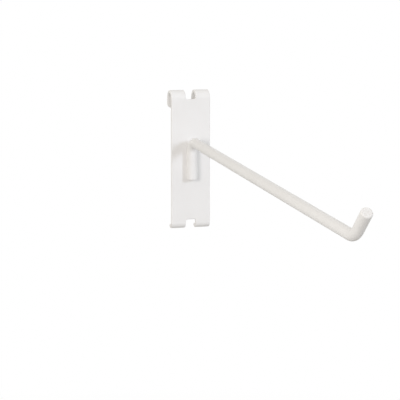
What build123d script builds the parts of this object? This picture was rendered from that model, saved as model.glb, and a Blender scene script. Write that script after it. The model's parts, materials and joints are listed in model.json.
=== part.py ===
from build123d import *

import os
from math import cos, radians, sin

# Standard sizes that the hook is made to fit
grid_wire_d = 6.35        # diameter, 1/4 in
grid_pitch = 76.2         # from the upper seat to the lower one, 3 in
seat_clearance = 0.7      # play between the ears and the plate

# Back plate, bent from one strip of sheet
sheet_t = 2.0
plate_width = 25.6        # 1 in and its coat
ear_leg = 6.15            # back of the ears, below the middle of the upper seat
ear_corner_r = 2.7
foot_drop = 6.9           # underside of the feet, below the lower seat
foot_corner_r = 1.0
foot_notch_depth = 5.7
lip_bend_r = 1.5          # inside radius of the curled lips
lip_turn = 150.0          # degrees
notch_width = 6.4
notch_corner_r = 1.0

# Hook wire, bent from one length of round wire
wire_d = 6.35
root_bend_r = 4.0         # inside radius of the bend from the leg to the arm
tip_bend_r = 12.7         # inside radius of the bend from the arm to the tip
arm_drop = 26.6           # start of the arm, below the middle of the upper seat
leg_length = 24.5         # from the start of the arm to the cut end of the leg
projection = 304.8        # from the plate's front to the middle of the tip's end, 12 in
arm_droop = 2.44          # degrees below level
tip_length = 22.0
tip_bend = 45.0           # degrees, up from the arm
tip_edge_r = 0.6          # rounding of the tip's end
weld_sink = 0.4           # depth that welding presses the leg into the plate's front

# Places that follow from the sizes
# The origin is the middle of the upper seat, inside the ears.
# The arm points to -Y, and the back of the plate faces +Y.
seat_r = (grid_wire_d + seat_clearance) / 2
plate_back = -seat_r
plate_front = plate_back - sheet_t
plate_top = seat_r + sheet_t
plate_bottom = -grid_pitch - foot_drop
lip_start = plate_bottom + sheet_t + lip_bend_r
lip_y = plate_back + lip_bend_r
lip_end_way = (0, -cos(radians(lip_turn)), -sin(radians(lip_turn)))
plate_height = plate_top - plate_bottom
plate_depth = seat_r + sheet_t - plate_front

leg_y = plate_front - wire_d / 2 + weld_sink
tip_rise = tip_bend - arm_droop
tip_end_y = plate_front - projection
tip_corner_y = tip_end_y + tip_length * cos(radians(tip_rise))
arm_length = (leg_y - tip_corner_y) / cos(radians(arm_droop))
tip_corner_z = -arm_drop - arm_length * sin(radians(arm_droop))
tip_end_z = tip_corner_z + tip_length * sin(radians(tip_rise))

# Back plate
with BuildPart() as back_plate:
    # The sheet seen from the side, from the end of an ear's back to the end of a lip
    with BuildSketch(Plane.YZ) as side_profile:
        with BuildLine() as inner_face:
            Line((seat_r, -ear_leg), (seat_r, 0))
            CenterArc((0, 0), seat_r, 0, 180)
            Line((plate_back, 0), (plate_back, lip_start))
            CenterArc((lip_y, lip_start), lip_bend_r, 180, lip_turn)
            offset(amount=sheet_t, side=Side.RIGHT)
        make_face()
    extrude(amount=plate_width / 2, both=True)

    # The strip seen from the front, with its feet and the notches between feet and ears
    with BuildSketch(Plane.XZ) as front_outline:
        with Locations((0, (plate_top + plate_bottom) / 2)):
            Rectangle(plate_width, plate_height)
        with Locations((0, plate_bottom)):
            Rectangle(notch_width, 2 * foot_notch_depth, mode=Mode.SUBTRACT)
        with Locations((0, plate_top)):
            Rectangle(notch_width, 2 * plate_top, mode=Mode.SUBTRACT)
        foot_notch_corners = front_outline.vertices().group_by(Axis.Y)[1]
        ear_notch_corners = front_outline.vertices().group_by(Axis.Y)[2]
        fillet(foot_notch_corners + ear_notch_corners, notch_corner_r)
    extrude(amount=plate_depth, both=True, mode=Mode.INTERSECT)

    # The notch between the ears goes on down to the end of their backs
    with BuildSketch(Plane.XZ) as ear_gap:
        Rectangle(notch_width, 2 * plate_height)
    extrude(amount=-plate_depth, mode=Mode.SUBTRACT)

    ear_corners = back_plate.edges().filter_by(Axis.Y).group_by(Axis.Y)[-1]
    fillet(ear_corners, ear_corner_r)
    foot_corners = back_plate.edges().filter_by(Axis((0, lip_y, lip_start), lip_end_way))
    fillet(foot_corners, foot_corner_r)

back_plate.part.label = "back_plate"

# Hook wire
with BuildPart() as hook_wire:
    with BuildLine(Plane.YZ) as wire_axis:
        FilletPolyline(
            (leg_y, -arm_drop - leg_length),
            (leg_y, -arm_drop),
            (tip_corner_y, tip_corner_z),
            (tip_end_y, tip_end_z),
            radius=[root_bend_r + wire_d / 2, tip_bend_r + wire_d / 2],
        )
    with BuildSketch(Plane(origin=wire_axis.line @ 0, z_dir=wire_axis.line % 0)) as wire_section:
        Circle(wire_d / 2)
    sweep()

    tip_end = hook_wire.faces().sort_by(Axis.Y)[0]
    fillet(tip_end.edges(), tip_edge_r)

    # Flat where the leg is welded to the plate
    split(bisect_by=Plane(origin=(0, plate_front, 0), z_dir=(0, -1, 0)), keep=Keep.TOP)

hook_wire.part.label = "hook_wire"

os.makedirs("parts", exist_ok=True)
export_step(back_plate.part, "parts/back_plate.step")
export_step(hook_wire.part, "parts/hook_wire.step")
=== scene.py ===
import json
from math import asin, cos, pi, radians, sin, sqrt, tan

import bmesh
import bpy
from mathutils import Matrix, Vector


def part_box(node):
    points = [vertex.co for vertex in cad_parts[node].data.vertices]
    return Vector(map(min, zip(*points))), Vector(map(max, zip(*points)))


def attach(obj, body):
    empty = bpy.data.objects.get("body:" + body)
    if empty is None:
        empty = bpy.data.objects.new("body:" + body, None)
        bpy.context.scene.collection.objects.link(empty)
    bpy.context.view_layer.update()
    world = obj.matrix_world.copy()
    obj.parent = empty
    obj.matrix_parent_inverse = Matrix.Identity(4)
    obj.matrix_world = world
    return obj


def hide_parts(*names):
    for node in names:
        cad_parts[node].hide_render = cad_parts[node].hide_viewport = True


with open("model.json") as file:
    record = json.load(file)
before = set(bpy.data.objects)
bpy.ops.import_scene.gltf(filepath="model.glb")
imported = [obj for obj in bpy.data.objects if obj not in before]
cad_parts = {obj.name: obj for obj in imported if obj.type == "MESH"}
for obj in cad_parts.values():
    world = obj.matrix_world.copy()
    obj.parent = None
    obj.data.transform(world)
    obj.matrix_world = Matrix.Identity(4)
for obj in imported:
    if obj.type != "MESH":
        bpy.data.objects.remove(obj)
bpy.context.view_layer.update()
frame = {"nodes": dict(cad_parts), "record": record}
plateLow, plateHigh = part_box("back_plate")
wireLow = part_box("hook_wire")[0]
mounts = {mount["name"]: mount for mount in frame["record"]["mounts"]}
mm = 0.001
tiny = 1e-7  # closer than this counts as the same place
nodeGap = 220  # between the nodes of a tree, as drawn in the editor
roundBevel = dict(profile=0.5, affect="EDGES")  # a quarter of a circle
print("frame loaded:", sorted(frame["nodes"]))

# helpers for node trees


def addNode(tree, kind, inputs=None, **settings):
    node = tree.nodes.new(kind)
    node.location = (nodeGap * len(tree.nodes), 0)  # left to right, in the order they are made
    for name, value in settings.items():
        setattr(node, name, value)
    for socket, value in (inputs or {}).items():
        plug(tree, node, socket, value)
    return node


def plug(tree, node, socket, value):
    if isinstance(value, bpy.types.NodeSocket):
        tree.links.new(value, node.inputs[socket])
    else:
        node.inputs[socket].default_value = value


def maths(tree, operation, *values):
    return addNode(tree, "ShaderNodeMath", dict(enumerate(values)), operation=operation).outputs[0]


def vectors(tree, operation, *values):
    return addNode(tree, "ShaderNodeVectorMath", dict(enumerate(values)), operation=operation).outputs[0]


def twoTones(tree, share, first, second):
    return addNode(tree, "ShaderNodeMix", {0: share, 6: first, 7: second}, data_type="RGBA").outputs[2]


def newTree(name, kind, inputs, outputs):
    tree = bpy.data.node_groups.new(name, kind)
    for label, socketType in inputs.items():
        tree.interface.new_socket(label, in_out="INPUT", socket_type="NodeSocket" + socketType)
    for label, socketType in outputs.items():
        tree.interface.new_socket(label, in_out="OUTPUT", socket_type="NodeSocket" + socketType)
    return tree, tree.nodes.new("NodeGroupInput").outputs, tree.nodes.new("NodeGroupOutput").inputs


# helpers for Geometry Nodes


def pick(tree, dataType, choices):  # one choice for each point, in order
    switch = addNode(tree, "GeometryNodeIndexSwitch", data_type=dataType)
    while len(switch.index_switch_items) < len(choices):
        switch.index_switch_items.new()
    plug(tree, switch, "Index", addNode(tree, "GeometryNodeInputIndex").outputs[0])
    for number, choice in enumerate(choices):
        plug(tree, switch, str(number), choice)
    return switch.outputs[0]


def bentPath(tree, corners, bends, steps):  # straight runs, with an arc at each corner that has a bend
    line = addNode(tree, "GeometryNodeMeshLine", {"Count": len(corners)}).outputs[0]
    places = pick(tree, "VECTOR", corners)
    placed = addNode(tree, "GeometryNodeSetPosition", {"Geometry": line, "Position": places}).outputs[0]
    runs = addNode(tree, "GeometryNodeMeshToCurve", {"Mesh": placed}).outputs[0]
    arcs = addNode(tree, "GeometryNodeFilletCurve", {"Curve": runs, "Count": steps}, mode="POLY")
    plug(tree, arcs, "Radius", pick(tree, "FLOAT", bends))
    return arcs.outputs[0]


def coated(tree, geometry, material, made):  # the end of each tree
    real = addNode(tree, "GeometryNodeRealizeInstances", {"Geometry": geometry}).outputs[0]
    painted = addNode(tree, "GeometryNodeSetMaterial", {"Geometry": real, "Material": material}).outputs[0]
    tree.links.new(painted, made["Geometry"])


def newPiece(name, mesh):
    piece = bpy.data.objects.new(name, mesh)
    bpy.context.scene.collection.objects.link(piece)
    return piece


def runTree(piece, tree, values):
    modifier = piece.modifiers.new(tree.name, "NODES")
    modifier.node_group = tree
    for item in tree.interface.items_tree:
        if item.in_out == "INPUT" and item.name in values:
            modifier[item.identifier] = values[item.name]
    bpy.context.view_layer.update()
    evaluated = piece.evaluated_get(bpy.context.evaluated_depsgraph_get())
    baked = bpy.data.meshes.new_from_object(evaluated)
    baked.name = piece.name
    piece.modifiers.remove(modifier)
    piece.data = baked


# helpers for meshes


def openMesh(piece):
    bm = bmesh.new()
    bm.from_mesh(piece.data)
    return bm


def closeMesh(bm, piece):  # with its faces outward
    bmesh.ops.recalc_face_normals(bm, faces=bm.faces)
    bm.to_mesh(piece.data)
    bm.free()


def smoothFaces(piece):
    piece.data.polygons.foreach_set("use_smooth", [True] * len(piece.data.polygons))


def softShade(piece):
    smoothFaces(piece)
    piece.modifiers.new("flatFacesStayFlat", "WEIGHTED_NORMAL")


# powder coat, shared by the plate, the wire and the weld

coat = dict(
    white=(0.86, 0.855, 0.845, 1),
    thin=(0.842, 0.836, 0.824, 1),  # where the coat lies thinner
    mottleSize=18 * mm,
    mottleRange=(0.35, 0.75),
    mottleDetail=2.0,
    peelSize=1.6 * mm,
    wirePeel=0.8,  # share of that size on the wire
    grainSize=0.35 * mm,
    grainShare=0.06,  # of the peel's height
    fineDetail=1.0,  # of the peel and the grain
    peelDepth=0.010 * mm,
    peelStrength=0.3,
    roughness=(0.5, 0.6),
    specular=0.3,
)


def coatGroup():
    tree, given, made = newTree(
        "powderCoatGrain",
        "ShaderNodeTree",
        {"Mottle Size": "Float", "Peel Size": "Float", "Grain Size": "Float", "Grain Share": "Float"},
        {"Thinness": "Float", "Roughness": "Float", "Height": "Float"},
    )
    place = addNode(tree, "ShaderNodeTexCoord").outputs["Object"]

    def noise(size, detail):
        texture = addNode(tree, "ShaderNodeTexNoise", {"Vector": place, "Detail": detail})
        plug(tree, texture, "Scale", maths(tree, "DIVIDE", 1.0, size))
        return texture.outputs[0]

    mottle = noise(given["Mottle Size"], coat["mottleDetail"])
    peel = noise(given["Peel Size"], coat["fineDetail"])
    grain = noise(given["Grain Size"], coat["fineDetail"])
    height = maths(tree, "MULTIPLY_ADD", grain, given["Grain Share"], peel)
    thin = addNode(tree, "ShaderNodeMapRange", {"Value": mottle}, interpolation_type="SMOOTHSTEP")
    plug(tree, thin, "From Min", coat["mottleRange"][0])
    plug(tree, thin, "From Max", coat["mottleRange"][1])
    rough = addNode(tree, "ShaderNodeMapRange", {"Value": peel})
    plug(tree, rough, "To Min", coat["roughness"][0])
    plug(tree, rough, "To Max", coat["roughness"][1])
    tree.links.new(thin.outputs[0], made["Thinness"])
    tree.links.new(rough.outputs[0], made["Roughness"])
    tree.links.new(height, made["Height"])
    return tree


def coatMaterial(name, grain, peelScale):
    material = bpy.data.materials.new(name)
    material.use_nodes = True
    tree = material.node_tree
    shader = tree.nodes["Principled BSDF"]
    group = addNode(tree, "ShaderNodeGroup", node_tree=grain)
    plug(tree, group, "Mottle Size", coat["mottleSize"])
    plug(tree, group, "Peel Size", coat["peelSize"] * peelScale)
    plug(tree, group, "Grain Size", coat["grainSize"])
    plug(tree, group, "Grain Share", coat["grainShare"])
    tone = twoTones(tree, group.outputs["Thinness"], coat["white"], coat["thin"])
    bump = addNode(tree, "ShaderNodeBump", {"Height": group.outputs["Height"]})
    plug(tree, bump, "Strength", coat["peelStrength"])
    plug(tree, bump, "Distance", coat["peelDepth"])
    plug(tree, shader, "Base Color", tone)
    plug(tree, shader, "Roughness", group.outputs["Roughness"])
    plug(tree, shader, "Specular IOR Level", coat["specular"])
    plug(tree, shader, "Normal", bump.outputs[0])
    return material


coatGrain = coatGroup()
plateCoat = coatMaterial("plateCoat", coatGrain, 1.0)
wireCoat = coatMaterial("wireCoat", coatGrain, coat["wirePeel"])
print("coat materials made")

# back plate: a flat blank, cut, rounded at its edges and bent

plate = dict(
    width=plateHigh.x - plateLow.x,
    seatRadius=mounts["upper_wire_seat"]["dims"]["r_mm"] * mm,
    earLeg=6.15 * mm,
    earCorner=2.7 * mm,
    lipRadius=1.5 * mm,
    lipTurn=radians(150),
    footCorner=1.0 * mm,
    footNotchDepth=5.7 * mm,
    notchWidth=6.4 * mm,
    notchCorner=1.0 * mm,
    edgeRound=0.6 * mm,  # stamped edges under the coat
    edgeSteps=5,
    cornerSteps=10,
    earSlices=44,
    lipSlices=18,
    bendSteps=90,
)
sheet = plateHigh.z - plate["seatRadius"]  # sheet thickness
earArc = pi * (plate["seatRadius"] + sheet / 2)  # half turn of an ear, along the middle of the sheet
lipArc = plate["lipTurn"] * (plate["lipRadius"] + sheet / 2)
plateStart = plate["earLeg"] + earArc  # strip length from an ear's end to the height of the seat's middle
footNotch = plateStart - plateLow.z - plate["footNotchDepth"]
lipStart = plateStart - plateLow.z - sheet - plate["lipRadius"]
stripEnd = lipStart + lipArc


def roundCorners(corners, steps):
    points = []
    for number, (x, y, radius) in enumerate(corners):
        corner = Vector((x, y))
        before = (Vector(corners[number - 1][:2]) - corner).normalized()
        after = (Vector(corners[(number + 1) % len(corners)][:2]) - corner).normalized()
        middle = corner + (before + after) * radius  # square corners only
        for step in range(steps + 1):
            turn = pi / 2 * step / steps
            points.append(middle - after * radius * cos(turn) - before * radius * sin(turn))
    return points


def blankOutline():
    half = plate["width"] / 2
    notch = plate["notchWidth"] / 2
    ear = plate["earCorner"]
    foot = plate["footCorner"]
    inner = plate["notchCorner"]
    return [
        (notch, 0, ear),
        (half, 0, ear),
        (half, stripEnd, foot),
        (notch, stripEnd, foot),
        (notch, footNotch, inner),
        (-notch, footNotch, inner),
        (-notch, stripEnd, foot),
        (-half, stripEnd, foot),
        (-half, 0, ear),
        (-notch, 0, ear),
        (-notch, plateStart, inner),
        (notch, plateStart, inner),
    ]


def blankMesh():
    bm = bmesh.new()
    for x, y in roundCorners(blankOutline(), plate["cornerSteps"]):
        bm.verts.new((x, y, sheet / 2))
    bmesh.ops.remove_doubles(bm, verts=bm.verts, dist=tiny)
    face = bm.faces.new(bm.verts)
    other = bmesh.ops.extrude_face_region(bm, geom=[face], use_keep_orig=True)["geom"]
    otherVerts = [part for part in other if isinstance(part, bmesh.types.BMVert)]
    bmesh.ops.translate(bm, vec=(0, 0, -sheet), verts=otherVerts)
    bmesh.ops.recalc_face_normals(bm, faces=bm.faces)
    rims = [edge for edge in bm.edges if abs(edge.verts[0].co.z - edge.verts[1].co.z) < tiny]
    bmesh.ops.bevel(bm, geom=rims, offset=plate["edgeRound"], segments=plate["edgeSteps"], **roundBevel)
    cuts = [plate["earLeg"] + earArc * n / plate["earSlices"] for n in range(plate["earSlices"] + 1)]
    cuts += [lipStart + lipArc * n / plate["lipSlices"] for n in range(plate["lipSlices"])]
    for cut in cuts:  # the bends need slices to follow
        geometry = bm.verts[:] + bm.edges[:] + bm.faces[:]
        bmesh.ops.bisect_plane(bm, geom=geometry, dist=tiny, plane_co=(0, cut, 0), plane_no=(0, 1, 0))
    mesh = bpy.data.meshes.new("plateBlank")
    bm.to_mesh(mesh)
    bm.free()
    return mesh


def bendTree():
    tree, given, made = newTree(
        "bendStrip",
        "GeometryNodeTree",
        {
            "Blank": "Geometry",
            "Ear Leg": "Float",
            "Seat Radius": "Float",
            "Lip Radius": "Float",
            "Lip Turn": "Float",
            "Sheet": "Float",
            "Bottom": "Float",
            "Bend Steps": "Int",
            "Coat": "Material",
        },
        {"Geometry": "Geometry"},
    )

    def point(y, z):
        return addNode(tree, "ShaderNodeCombineXYZ", {"Y": y, "Z": z}).outputs[0]

    halfSheet = maths(tree, "MULTIPLY", given["Sheet"], 0.5)
    seat = maths(tree, "ADD", given["Seat Radius"], halfSheet)  # radii along the middle of the sheet
    lip = maths(tree, "ADD", given["Lip Radius"], halfSheet)
    front = maths(tree, "MULTIPLY", seat, -1.0)
    halfTurn = maths(tree, "MULTIPLY", given["Lip Turn"], 0.5)
    lipRun = maths(tree, "MULTIPLY", lip, maths(tree, "TANGENT", halfTurn))  # from its corner to either end
    lipHeight = maths(tree, "ADD", maths(tree, "ADD", given["Bottom"], halfSheet), lip)
    lipLow = maths(tree, "SUBTRACT", lipHeight, lipRun)
    lipPast = maths(tree, "ADD", lipRun, given["Sheet"])  # runs on, so that the lip's end has a direction
    lipBack = maths(tree, "MULTIPLY_ADD", lipPast, maths(tree, "SINE", given["Lip Turn"]), front)
    lipUp = maths(tree, "MULTIPLY", lipPast, maths(tree, "COSINE", given["Lip Turn"]))
    corners = [
        point(seat, maths(tree, "MULTIPLY", given["Ear Leg"], -1.0)),
        point(seat, seat),
        point(front, seat),
        point(front, lipLow),
        point(lipBack, maths(tree, "SUBTRACT", lipLow, lipUp)),
    ]
    profile = bentPath(tree, corners, [0.0, seat, seat, lip, 0.0], given["Bend Steps"])

    place = addNode(tree, "GeometryNodeInputPosition").outputs[0]
    flat = addNode(tree, "ShaderNodeSeparateXYZ", {"Vector": place}).outputs
    follow = addNode(tree, "GeometryNodeSampleCurve", mode="LENGTH", use_all_curves=True)
    plug(tree, follow, "Curves", profile)
    plug(tree, follow, "Length", flat["Y"])
    outward = vectors(tree, "CROSS_PRODUCT", (1, 0, 0), follow.outputs["Tangent"])
    lift = addNode(tree, "ShaderNodeVectorMath", {0: outward, "Scale": flat["Z"]}, operation="SCALE")
    across = addNode(tree, "ShaderNodeCombineXYZ", {"X": flat["X"]})
    middle = vectors(tree, "ADD", follow.outputs["Position"], across.outputs[0])
    bent = addNode(tree, "GeometryNodeSetPosition", {"Geometry": given["Blank"]})
    plug(tree, bent, "Position", vectors(tree, "ADD", middle, lift.outputs[0]))
    coated(tree, bent.outputs[0], given["Coat"], made)
    return tree


def makePlate():
    piece = newPiece("plate_skin", blankMesh())
    sizes = {
        "Ear Leg": plate["earLeg"],
        "Seat Radius": plate["seatRadius"],
        "Lip Radius": plate["lipRadius"],
        "Lip Turn": plate["lipTurn"],
        "Sheet": sheet,
        "Bottom": plateLow.z,
        "Bend Steps": plate["bendSteps"],
        "Coat": plateCoat,
    }
    runTree(piece, bendTree(), sizes)
    closeMesh(openMesh(piece), piece)
    softShade(piece)
    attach(piece, "root")
    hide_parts("back_plate")
    print("back plate bent:", len(piece.data.polygons), "faces")


makePlate()

# hook wire: one length of round wire that follows a bent path

wire = dict(
    radius=mounts["product_arm"]["dims"]["r_mm"] * mm,
    weldSink=0.4 * mm,  # the leg is pressed this far into the plate
    rootBend=4.0 * mm,  # inside radii
    tipBend=12.7 * mm,
    projection=304.8 * mm,
    tipLength=22.0 * mm,
    tipTurn=radians(45),
    tipRound=0.8 * mm,
    legRound=0.4 * mm,
    aroundSteps=56,
    bendSteps=40,
    roundSteps=5,
)
armPoint = Vector(mounts["product_arm"]["pos_m"])
armWay = Vector(mounts["product_arm"]["axis"])


def onArm(y):  # point of the arm's middle line, that far out
    return armPoint + armWay * ((y - armPoint.y) / armWay.y)


legY = plateLow.y + wire["weldSink"] - wire["radius"]
legFoot = Vector((0, legY, wireLow.z))
rootCorner = onArm(legY)
armDroop = asin(-armWay.z)
tipRise = wire["tipTurn"] - armDroop
tipWay = Vector((0, -cos(tipRise), sin(tipRise)))
tipCorner = onArm(plateLow.y - wire["projection"] - tipWay.y * wire["tipLength"])
tipEnd = tipCorner + tipWay * wire["tipLength"]


def wireTree():
    tree, given, made = newTree(
        "bentWire",
        "GeometryNodeTree",
        {
            "Geometry": "Geometry",
            "Leg Foot": "Vector",
            "Root Corner": "Vector",
            "Tip Corner": "Vector",
            "Tip End": "Vector",
            "Root Bend": "Float",
            "Tip Bend": "Float",
            "Wire Radius": "Float",
            "Weld Face": "Float",
            "Around Steps": "Int",
            "Bend Steps": "Int",
            "Coat": "Material",
        },
        {"Geometry": "Geometry"},
    )
    corners = [given[name] for name in ("Leg Foot", "Root Corner", "Tip Corner", "Tip End")]
    bends = [maths(tree, "ADD", given[name], given["Wire Radius"]) for name in ("Root Bend", "Tip Bend")]
    path = bentPath(tree, corners, [0.0, *bends, 0.0], given["Bend Steps"])
    ring = addNode(tree, "GeometryNodeCurvePrimitiveCircle")
    plug(tree, ring, "Resolution", given["Around Steps"])
    plug(tree, ring, "Radius", given["Wire Radius"])
    tube = addNode(tree, "GeometryNodeCurveToMesh", {"Curve": path, "Fill Caps": True})
    plug(tree, tube, "Profile Curve", ring.outputs[0])
    place = addNode(tree, "GeometryNodeInputPosition").outputs[0]
    spot = addNode(tree, "ShaderNodeSeparateXYZ", {"Vector": place}).outputs
    pressed = maths(tree, "MINIMUM", spot["Y"], given["Weld Face"])  # flat where it is welded
    flat = addNode(tree, "ShaderNodeCombineXYZ", {"X": spot["X"], "Y": pressed, "Z": spot["Z"]})
    welded = addNode(tree, "GeometryNodeSetPosition", {"Geometry": tube.outputs[0]})
    plug(tree, welded, "Position", flat.outputs[0])
    coated(tree, welded.outputs[0], given["Coat"], made)
    return tree


def roundEnd(bm, centre, radius):
    caps = [face for face in bm.faces if len(face.verts) > 4]  # all other faces have four corners
    cap = min(caps, key=lambda face: (face.calc_center_median() - centre).length)
    bmesh.ops.bevel(bm, geom=cap.edges[:], offset=radius, segments=wire["roundSteps"], **roundBevel)


def makeWire():
    piece = newPiece("wire_skin", bpy.data.meshes.new("wirePath"))
    sizes = {
        "Leg Foot": legFoot,
        "Root Corner": rootCorner,
        "Tip Corner": tipCorner,
        "Tip End": tipEnd,
        "Root Bend": wire["rootBend"],
        "Tip Bend": wire["tipBend"],
        "Wire Radius": wire["radius"],
        "Weld Face": plateLow.y,
        "Around Steps": wire["aroundSteps"],
        "Bend Steps": wire["bendSteps"],
        "Coat": wireCoat,
    }
    runTree(piece, wireTree(), sizes)
    bm = openMesh(piece)
    bmesh.ops.remove_doubles(bm, verts=bm.verts, dist=tiny)
    roundEnd(bm, tipEnd, wire["tipRound"])
    roundEnd(bm, legFoot, wire["legRound"])
    closeMesh(bm, piece)
    softShade(piece)
    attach(piece, "root")
    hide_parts("hook_wire")
    print("hook wire bent:", len(piece.data.polygons), "faces")


makeWire()

# weld: the hollow that weld metal and coat fill, along both sides of the leg

weld = dict(
    hollow=0.4 * mm,  # radius from the leg to the plate
    buried=0.25 * mm,  # hidden edge, inside the leg and the plate
    rise=1.0 * mm,  # how far it follows the root's bend
    fade=2.5 * mm,  # each end thins out over this length
    fadeLeft=0.05,  # share that is left at the very end
    alongSteps=48,
    arcSteps=10,
    sharpAngle=radians(45),
)
rootTurn = pi / 2 + armDroop
legTop = rootCorner.z - (wire["rootBend"] + wire["radius"]) * tan(rootTurn / 2)  # where the bend starts


def weldSection():  # across the leg and towards the plate, from where the leg's round meets it
    radius = wire["radius"]
    hollow = weld["hollow"]
    face = radius - wire["weldSink"]
    corner = Vector((sqrt(radius**2 - face**2), face, 0))
    height = face - hollow
    across = sqrt((radius + hollow) ** 2 - height**2)  # middle of the hollow's arc
    way = Vector((across, height, 0)).normalized()
    meeting = Vector(((radius - face * way.y) / way.x, face, 0))  # where the arc's end tangents cross
    buried = corner + Vector((-weld["buried"], weld["buried"], 0))
    points = dict(Buried=buried, Wire=way * radius, Meeting=meeting, Plate=Vector((across, face, 0)))
    return corner, {name: place - corner for name, place in points.items()}


def weldTree():
    tree, given, made = newTree(
        "weldHollow",
        "GeometryNodeTree",
        {
            "Geometry": "Geometry",
            "Start": "Vector",
            "End": "Vector",
            "Buried": "Vector",
            "Wire": "Vector",
            "Meeting": "Vector",
            "Plate": "Vector",
            "Hollow": "Float",
            "Fade": "Float",
            "Fade Left": "Float",
            "Along Steps": "Int",
            "Arc Steps": "Int",
            "Coat": "Material",
        },
        {"Geometry": "Geometry"},
    )
    corners = [given[name] for name in ("Buried", "Wire", "Meeting", "Plate")]
    section = bentPath(tree, corners, [0.0, 0.0, given["Hollow"], 0.0], given["Arc Steps"])
    ring = addNode(tree, "GeometryNodeSetSplineCyclic", {"Geometry": section, "Cyclic": True}).outputs[0]
    line = addNode(tree, "GeometryNodeCurvePrimitiveLine", {"Start": given["Start"], "End": given["End"]})
    path = addNode(tree, "GeometryNodeResampleCurve", {"Curve": line.outputs[0]})
    plug(tree, path, "Count", given["Along Steps"])
    upTo = addNode(tree, "GeometryNodeSplineParameter").outputs["Length"]
    whole = vectors(tree, "DISTANCE", given["Start"], given["End"])
    nearEnd = maths(tree, "MINIMUM", upTo, maths(tree, "SUBTRACT", whole, upTo))
    size = addNode(tree, "ShaderNodeMapRange", {"Value": nearEnd}, interpolation_type="SMOOTHSTEP")
    plug(tree, size, "From Max", given["Fade"])
    plug(tree, size, "To Min", given["Fade Left"])
    side = addNode(tree, "GeometryNodeCurveToMesh", {"Curve": path.outputs[0], "Fill Caps": True})
    plug(tree, side, "Profile Curve", ring)
    plug(tree, side, "Scale", size.outputs[0])
    mirrored = addNode(tree, "GeometryNodeTransform", {"Geometry": side.outputs[0], "Scale": (-1, 1, 1)})
    both = addNode(tree, "GeometryNodeJoinGeometry", {"Geometry": side.outputs[0]})
    plug(tree, both, "Geometry", mirrored.outputs[0])
    coated(tree, both.outputs[0], given["Coat"], made)
    return tree


def makeWeld():
    piece = newPiece("weld_hollow", bpy.data.meshes.new("weldPath"))
    corner, section = weldSection()
    sizes = {
        "Start": Vector((corner.x, plateLow.y, legFoot.z)),
        "End": Vector((corner.x, plateLow.y, legTop + weld["rise"])),
        "Hollow": weld["hollow"],
        "Fade": weld["fade"],
        "Fade Left": weld["fadeLeft"],
        "Along Steps": weld["alongSteps"],
        "Arc Steps": weld["arcSteps"],
        "Coat": wireCoat,
        **section,
    }
    runTree(piece, weldTree(), sizes)
    bm = openMesh(piece)
    bmesh.ops.remove_doubles(bm, verts=bm.verts, dist=tiny)
    closeMesh(bm, piece)
    smoothFaces(piece)
    piece.data.set_sharp_from_angle(angle=weld["sharpAngle"])
    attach(piece, "root")
    print("weld filled:", len(piece.data.polygons), "faces")


makeWeld()

# floor, world, lights and camera

studio = dict(
    floorDrop=0.6,
    floorSize=40.0,
    floorPale=(0.9, 0.9, 0.9, 1),
    floorBounce=(0.6, 0.6, 0.6, 1),  # what the floor throws back on the object
    floorRoughness=0.9,
    shadowReach=(0.9, 2.0),  # the floor shows shadow inside the first, and is plain white past the second
    white=(1, 1, 1, 1),
    ambient=(0.563, 0.538, 0.516, 1),  # from above, ahead and behind
    sides=(1.03, 1.01, 0.921, 1),  # from the left and the right
    lampDistance=1.3,
)
lamps = dict(
    leftSoft=dict(
        azimuth=radians(-42),
        elevation=radians(13),
        aim=(0, -0.12, -0.035),
        size=0.45,
        spread=pi,
        power=5.645,
        colour=(1.0, 0.961, 0.973),
    ),
    rightOnPlate=dict(
        azimuth=radians(32),
        elevation=radians(18),
        aim=(0, 0.02, -0.04),
        size=0.32,
        spread=radians(32),
        power=0.159,
        colour=(0.764, 0.852, 1.0),
    ),
)
eye = dict(
    place=(-0.32307, -1.12283, 0.12149),
    yaw=radians(16.414),  # turned to the right
    pitch=radians(-9.101),  # looking a little down
    roll=radians(0.054),
    lens=165.42,
)


def seenByEye(tree):  # 1 for what the camera sees, straight or in a reflection
    rays = addNode(tree, "ShaderNodeLightPath").outputs
    straight = maths(tree, "MAXIMUM", rays["Is Camera Ray"], rays["Is Glossy Ray"])
    return maths(tree, "MAXIMUM", straight, rays["Is Transmission Ray"])


def makeWorld():
    world = bpy.data.worlds.new("paleStudio")
    world.use_nodes = True
    tree = world.node_tree
    way = addNode(tree, "ShaderNodeTexCoord").outputs["Generated"]
    across = addNode(tree, "ShaderNodeSeparateXYZ", {"Vector": way}).outputs["X"]
    light = twoTones(tree, maths(tree, "MULTIPLY", across, across), studio["ambient"], studio["sides"])
    tone = twoTones(tree, seenByEye(tree), light, studio["white"])
    plug(tree, tree.nodes["Background"], "Color", tone)
    bpy.context.scene.world = world


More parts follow.
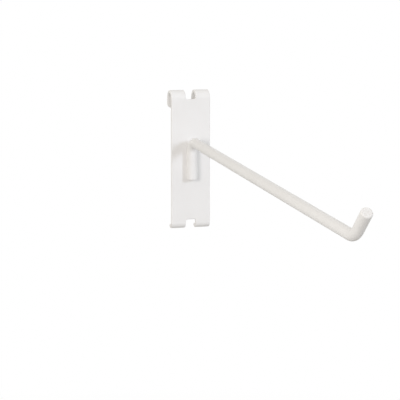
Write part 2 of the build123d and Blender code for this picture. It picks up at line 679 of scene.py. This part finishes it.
def floorMaterial():
    material = bpy.data.materials.new("paleFloor")
    material.use_nodes = True
    tree = material.node_tree
    shader = tree.nodes["Principled BSDF"]
    seen = seenByEye(tree)
    plug(tree, shader, "Base Color", twoTones(tree, seen, studio["floorBounce"], studio["floorPale"]))
    plug(tree, shader, "Roughness", studio["floorRoughness"])
    plain = addNode(tree, "ShaderNodeEmission", {"Color": studio["white"]}).outputs[0]
    place = addNode(tree, "ShaderNodeTexCoord").outputs["Object"]
    reach = addNode(tree, "ShaderNodeVectorMath", {0: place}, operation="LENGTH").outputs["Value"]
    far = addNode(tree, "ShaderNodeMapRange", {"Value": reach}, interpolation_type="SMOOTHSTEP")
    plug(tree, far, "From Min", studio["shadowReach"][0])
    plug(tree, far, "From Max", studio["shadowReach"][1])
    share = maths(tree, "MULTIPLY", far.outputs[0], seen)
    blend = addNode(tree, "ShaderNodeMixShader", {0: share, 1: shader.outputs[0], 2: plain}).outputs[0]
    plug(tree, tree.nodes["Material Output"], "Surface", blend)
    return material


def makeFloor():
    half = studio["floorSize"] / 2
    height = plateLow.z - studio["floorDrop"]
    corners = [(x, y, height) for x, y in ((-half, -half), (half, -half), (half, half), (-half, half))]
    mesh = bpy.data.meshes.new("floor")
    mesh.from_pydata(corners, [], [(0, 1, 2, 3)])
    mesh.materials.append(floorMaterial())
    newPiece("floor", mesh)


def makeLamp(name, lamp):
    data = bpy.data.lights.new(name, "AREA")
    data.shape = "DISK"
    data.size = lamp["size"]
    data.spread = lamp["spread"]
    data.energy = lamp["power"]
    data.color = lamp["colour"]
    level = cos(lamp["elevation"])
    way = Vector((sin(lamp["azimuth"]) * level, -cos(lamp["azimuth"]) * level, sin(lamp["elevation"])))
    light = bpy.data.objects.new(name, data)
    light.location = Vector(lamp["aim"]) + way * studio["lampDistance"]
    light.rotation_euler = (-way).to_track_quat("-Z", "Y").to_euler()
    light.visible_camera = False
    bpy.context.scene.collection.objects.link(light)


def makeCamera():
    data = bpy.data.cameras.new("eye")
    data.lens = eye["lens"]
    camera = bpy.data.objects.new("eye", data)
    turned = Matrix.Rotation(-eye["yaw"], 4, "Z") @ Matrix.Rotation(pi / 2 + eye["pitch"], 4, "X")
    camera.matrix_world = Matrix.Translation(eye["place"]) @ turned @ Matrix.Rotation(eye["roll"], 4, "Z")
    bpy.context.scene.collection.objects.link(camera)
    bpy.context.scene.camera = camera


makeWorld()
makeFloor()
for name, lamp in lamps.items():
    makeLamp(name, lamp)
makeCamera()
bpy.context.scene.view_settings.view_transform = "Standard"
print("studio set")
